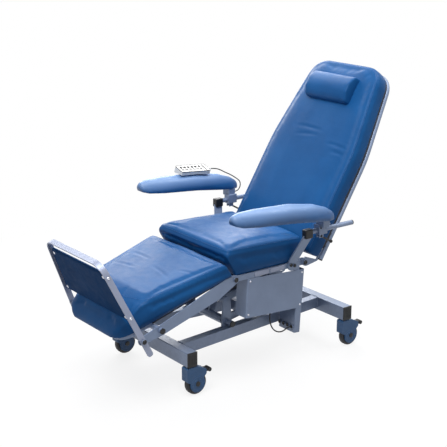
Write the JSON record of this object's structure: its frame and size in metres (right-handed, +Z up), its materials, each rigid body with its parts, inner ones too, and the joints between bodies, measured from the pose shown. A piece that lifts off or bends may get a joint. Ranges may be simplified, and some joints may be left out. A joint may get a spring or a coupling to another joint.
{
  "type": "dialysis chair",
  "caption": "Wheeled treatment recliner: padded seat, back and tapered leg rest with a folding footboard, sliding arm pads, a wired handset and a parallel-arm lift with linear drives.",
  "frame": {"origin": "on the floor, under the middle of the chair's bounding box", "axes": "+X to the patient's left, +Y from the footboard to the head end, +Z up"},
  "size_m": [0.79, 1.6121, 1.2822],
  "materials": {
    "painted_steel": "satin",
    "bright_steel": "satin",
    "chromed_rod": "polished",
    "blue_upholstery": "satin",
    "navy_panel": "satin",
    "black_plastic": "satin",
    "drive_plastic": "matte",
    "caster_plastic": "satin",
    "tyre_rubber": "matte",
    "handset_plastic": "satin",
    "cord_rubber": "satin",
    "ply_board": "matte"
  },
  "bodies": {
    "chassis": {"front_crossbar": "painted_steel", "rear_crossbar": "painted_steel", "base_rails": "painted_steel", "base_end_plugs": "black_plastic", "lift_cross_tube": "painted_steel", "lift_uprights": "painted_steel", "lift_stand": "painted_steel", "lift_actuator": "drive_plastic"},
    "lower_arms": {"lower_lift_arms": "painted_steel"},
    "upper_arms": {"upper_lift_arms": "painted_steel"},
    "lift_rod": {"lift_rod": "chromed_rod"},
    "seat": {"seat_frame": "painted_steel", "seat_cushion": "blue_upholstery", "side_housings": "painted_steel", "control_box": "painted_steel", "control_cable": "cord_rubber", "leg_actuator": "drive_plastic", "back_actuator": "drive_plastic", "arm_posts": "painted_steel", "arm_tubes": "painted_steel", "arm_tube_fittings": "black_plastic"},
    "leg_rest": {"leg_frame": "painted_steel", "leg_board": "ply_board", "leg_cushion": "blue_upholstery", "leg_tube_plugs": "black_plastic"},
    "leg_rod": {"leg_rod": "chromed_rod"},
    "footboard": {"footboard_frame": "bright_steel", "footboard_panel": "navy_panel"},
    "back": {"back_frame": "painted_steel", "back_board": "ply_board", "back_cushion": "blue_upholstery", "back_tube_plugs": "black_plastic", "head_pillow": "blue_upholstery"},
    "back_rod": {"back_rod": "chromed_rod"},
    "left_arm": {"left_arm_clamp": "painted_steel", "left_arm_pad": "blue_upholstery"},
    "left_lever": {"left_clamp_lever": "black_plastic"},
    "right_arm": {"right_arm_clamp": "painted_steel", "right_arm_pad": "blue_upholstery", "handset_case": "handset_plastic", "handset_cord": "cord_rubber"},
    "right_lever": {"right_clamp_lever": "black_plastic"},
    "key_1": {"handset_key_1": "handset_plastic"},
    "key_2": {"handset_key_2": "handset_plastic"},
    "key_3": {"handset_key_3": "handset_plastic"},
    "key_4": {"handset_key_4": "handset_plastic"},
    "key_5": {"handset_key_5": "handset_plastic"},
    "key_6": {"handset_key_6": "handset_plastic"},
    "front_left_fork": {"front_left_caster_fork": "caster_plastic"},
    "front_left_wheel": {"front_left_caster_wheel": "tyre_rubber"},
    "front_left_pedal": {"front_left_caster_pedal": "black_plastic"},
    "front_right_fork": {"front_right_caster_fork": "caster_plastic"},
    "front_right_wheel": {"front_right_caster_wheel": "tyre_rubber"},
    "front_right_pedal": {"front_right_caster_pedal": "black_plastic"},
    "rear_left_fork": {"rear_left_caster_fork": "caster_plastic"},
    "rear_left_wheel": {"rear_left_caster_wheel": "tyre_rubber"},
    "rear_left_pedal": {"rear_left_caster_pedal": "black_plastic"},
    "rear_right_fork": {"rear_right_caster_fork": "caster_plastic"},
    "rear_right_wheel": {"rear_right_caster_wheel": "tyre_rubber"},
    "rear_right_pedal": {"rear_right_caster_pedal": "black_plastic"}
  },
  "joints": [
    {"name": "lift", "type": "hinge", "parent": "chassis", "child": "lower_arms", "pos_m": [0, -0.1089, 0.218], "axis": [1, 0, 0], "range_deg": [0, 45]},
    {"name": "lift_parallel", "type": "hinge", "parent": "chassis", "child": "upper_arms", "pos_m": [0, -0.1089, 0.318], "axis": [1, 0, 0], "range_deg": [0, 45]},
    {"name": "seat_level", "type": "hinge", "parent": "lower_arms", "child": "seat", "pos_m": [0, 0.18636, 0.27113], "axis": [1, 0, 0], "range_deg": [-45, 0]},
    {"name": "lift_rod_push", "type": "slide", "parent": "chassis", "child": "lift_rod", "axis": [0, -1, 0], "range_m": [0, 0.07361]},
    {"name": "leg_tilt", "type": "hinge", "parent": "seat", "child": "leg_rest", "pos_m": [0, -0.1649, 0.4635], "axis": [-1, 0, 0], "range_deg": [-13, 9]},
    {"name": "leg_rod_push", "type": "slide", "parent": "seat", "child": "leg_rod", "axis": [0, -1, 0], "range_m": [-0.01807, 0.01254]},
    {"name": "back_tilt", "type": "hinge", "parent": "seat", "child": "back", "pos_m": [0, 0.2261, 0.4635], "axis": [-1, 0, 0], "range_deg": [-15, 55]},
    {"name": "back_rod_push", "type": "slide", "parent": "seat", "child": "back_rod", "axis": [0, -1, 0], "range_m": [-0.02287, 0.08359]},
    {"name": "footboard_fold", "type": "hinge", "parent": "leg_rest", "child": "footboard", "pos_m": [0, -0.64586, 0.30503], "axis": [1, 0, 0], "range_deg": [0, 80]},
    {"name": "left_arm_slide", "type": "slide", "parent": "seat", "child": "left_arm", "axis": [0, 1, 0], "range_m": [-0.01, 0.12]},
    {"name": "left_lever_turn", "type": "hinge", "parent": "left_arm", "child": "left_lever", "pos_m": [0.325, 0.2671, 0.593], "axis": [-1, 0, 0], "range_deg": [0, 60]},
    {"name": "right_arm_slide", "type": "slide", "parent": "seat", "child": "right_arm", "axis": [0, 1, 0], "range_m": [-0.01, 0.12]},
    {"name": "right_lever_turn", "type": "hinge", "parent": "right_arm", "child": "right_lever", "pos_m": [-0.325, 0.2671, 0.593], "axis": [-1, 0, 0], "range_deg": [0, 60]},
    {"name": "key_1_rock", "type": "hinge", "parent": "right_arm", "child": "key_1", "pos_m": [-0.3443, -0.00457, 0.80296], "axis": [0, 0.9962, -0.0872], "range_deg": [-5, 5], "stiffness_Nm_per_rad": 0.1},
    {"name": "key_2_rock", "type": "hinge", "parent": "right_arm", "child": "key_2", "pos_m": [-0.3443, 0.01635, 0.80113], "axis": [0, 0.9962, -0.0872], "range_deg": [-5, 5], "stiffness_Nm_per_rad": 0.1},
    {"name": "key_3_rock", "type": "hinge", "parent": "right_arm", "child": "key_3", "pos_m": [-0.3443, 0.03727, 0.7993], "axis": [0, 0.9962, -0.0872], "range_deg": [-5, 5], "stiffness_Nm_per_rad": 0.1},
    {"name": "key_4_rock", "type": "hinge", "parent": "right_arm", "child": "key_4", "pos_m": [-0.3443, 0.05819, 0.79747], "axis": [0, 0.9962, -0.0872], "range_deg": [-5, 5], "stiffness_Nm_per_rad": 0.1},
    {"name": "key_5_rock", "type": "hinge", "parent": "right_arm", "child": "key_5", "pos_m": [-0.3443, 0.07911, 0.79564], "axis": [0, 0.9962, -0.0872], "range_deg": [-5, 5], "stiffness_Nm_per_rad": 0.1},
    {"name": "key_6_rock", "type": "hinge", "parent": "right_arm", "child": "key_6", "pos_m": [-0.3443, 0.10003, 0.79381], "axis": [0, 0.9962, -0.0872], "range_deg": [-5, 5], "stiffness_Nm_per_rad": 0.1},
    {"name": "front_left_swivel", "type": "hinge", "parent": "chassis", "child": "front_left_fork", "pos_m": [0.277, -0.4119, 0.135], "axis": [0, 0, 1], "continuous": true},
    {"name": "front_left_roll", "type": "hinge", "parent": "front_left_fork", "child": "front_left_wheel", "pos_m": [0.277, -0.3839, 0.05], "axis": [1, 0, 0], "continuous": true},
    {"name": "front_left_brake", "type": "hinge", "parent": "front_left_fork", "child": "front_left_pedal", "pos_m": [0.277, -0.3479, 0.101], "axis": [-1, 0, 0], "range_deg": [0, 10]},
    {"name": "front_right_swivel", "type": "hinge", "parent": "chassis", "child": "front_right_fork", "pos_m": [-0.277, -0.4119, 0.135], "axis": [0, 0, 1], "continuous": true},
    {"name": "front_right_roll", "type": "hinge", "parent": "front_right_fork", "child": "front_right_wheel", "pos_m": [-0.277, -0.3839, 0.05], "axis": [1, 0, 0], "continuous": true},
    {"name": "front_right_brake", "type": "hinge", "parent": "front_right_fork", "child": "front_right_pedal", "pos_m": [-0.277, -0.3479, 0.101], "axis": [-1, 0, 0], "range_deg": [0, 10]},
    {"name": "rear_left_swivel", "type": "hinge", "parent": "chassis", "child": "rear_left_fork", "pos_m": [0.277, 0.4791, 0.135], "axis": [0, 0, 1], "continuous": true},
    {"name": "rear_left_roll", "type": "hinge", "parent": "rear_left_fork", "child": "rear_left_wheel", "pos_m": [0.277, 0.5071, 0.05], "axis": [1, 0, 0], "continuous": true},
    {"name": "rear_left_brake", "type": "hinge", "parent": "rear_left_fork", "child": "rear_left_pedal", "pos_m": [0.277, 0.5431, 0.101], "axis": [-1, 0, 0], "range_deg": [0, 10]},
    {"name": "rear_right_swivel", "type": "hinge", "parent": "chassis", "child": "rear_right_fork", "pos_m": [-0.277, 0.4791, 0.135], "axis": [0, 0, 1], "continuous": true},
    {"name": "rear_right_roll", "type": "hinge", "parent": "rear_right_fork", "child": "rear_right_wheel", "pos_m": [-0.277, 0.5071, 0.05], "axis": [1, 0, 0], "continuous": true},
    {"name": "rear_right_brake", "type": "hinge", "parent": "rear_right_fork", "child": "rear_right_pedal", "pos_m": [-0.277, 0.5431, 0.101], "axis": [-1, 0, 0], "range_deg": [0, 10]}
  ],
  "couplings": [
    {"joint": "lift_parallel", "follows": "lift", "ratio": 1},
    {"joint": "seat_level", "follows": "lift", "ratio": -1},
    {"joint": "lift_rod_push", "follows": "lift", "m_per_rad": 0.0936},
    {"joint": "leg_rod_push", "follows": "leg_tilt", "m_per_rad": 0.07921},
    {"joint": "back_rod_push", "follows": "back_tilt", "m_per_rad": 0.08698}
  ]
}
